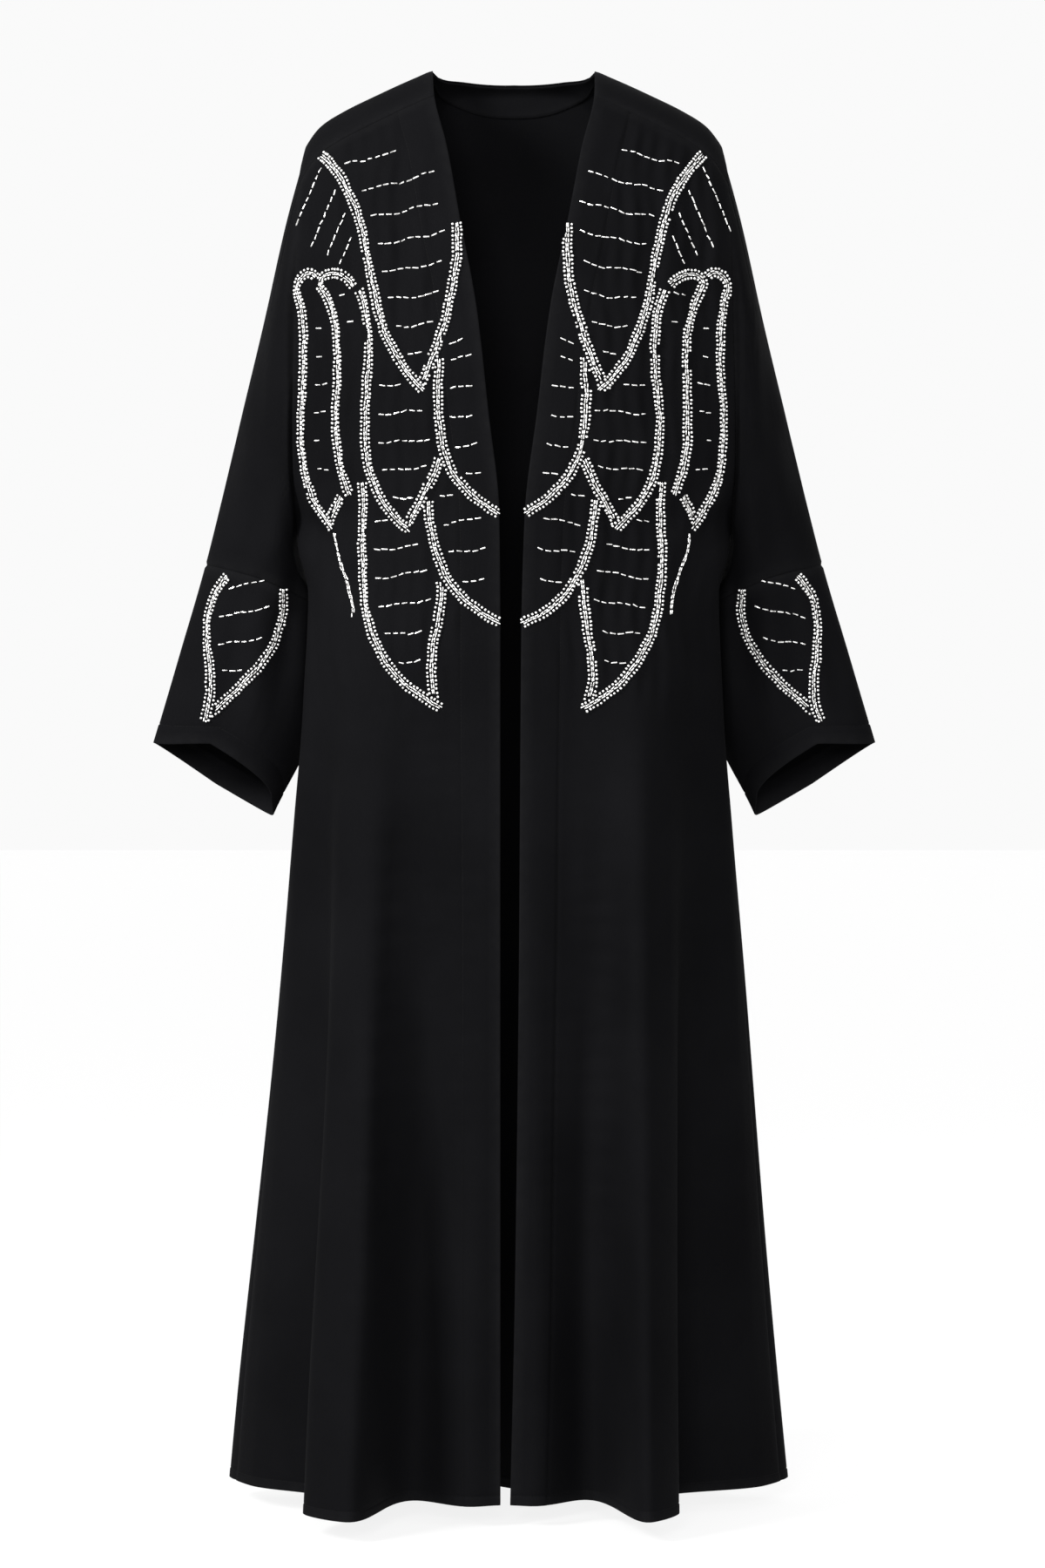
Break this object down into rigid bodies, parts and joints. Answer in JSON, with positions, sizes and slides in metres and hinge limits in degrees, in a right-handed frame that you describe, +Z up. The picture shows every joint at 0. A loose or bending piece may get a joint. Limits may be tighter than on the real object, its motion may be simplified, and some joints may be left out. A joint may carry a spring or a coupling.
{
  "type": "kimono abaya",
  "caption": "Full-length black open-front robe with wide set-in sleeves, flared sleeve ends and raised beaded leaves on the chest and cuffs, worn-shaped and hollow.",
  "frame": {"origin": "midway between the two neck points of the shoulder ridge, where a wearer's shoulders carry the garment", "axes": "+X towards the wearer's left, -Y towards the front, +Z up"},
  "size_m": [0.728, 0.3613, 1.4361],
  "materials": {
    "crepe": "black crepe, matt with a soft sheen",
    "facing": "black crepe, matt",
    "beads": "silver-lined seed and bugle beads, bright"
  },
  "bodies": {
    "root": {"back": "crepe", "back_neck_facing": "facing", "front_left": "crepe", "sleeve_left": "crepe", "sleeve_end_left": "crepe", "beads_shoulder_left": "beads", "beads_breast_left": "beads", "beads_middle_left": "beads", "beads_inner_arm_left": "beads", "beads_outer_arm_left": "beads", "beads_opening_left": "beads", "beads_lowest_left": "beads", "beads_side_left": "beads", "beads_cuff_left": "beads", "front_right": "crepe", "sleeve_right": "crepe", "sleeve_end_right": "crepe", "beads_shoulder_right": "beads", "beads_breast_right": "beads", "beads_middle_right": "beads", "beads_inner_arm_right": "beads", "beads_outer_arm_right": "beads", "beads_opening_right": "beads", "beads_lowest_right": "beads", "beads_side_right": "beads", "beads_cuff_right": "beads"}
  },
  "joints": []
}
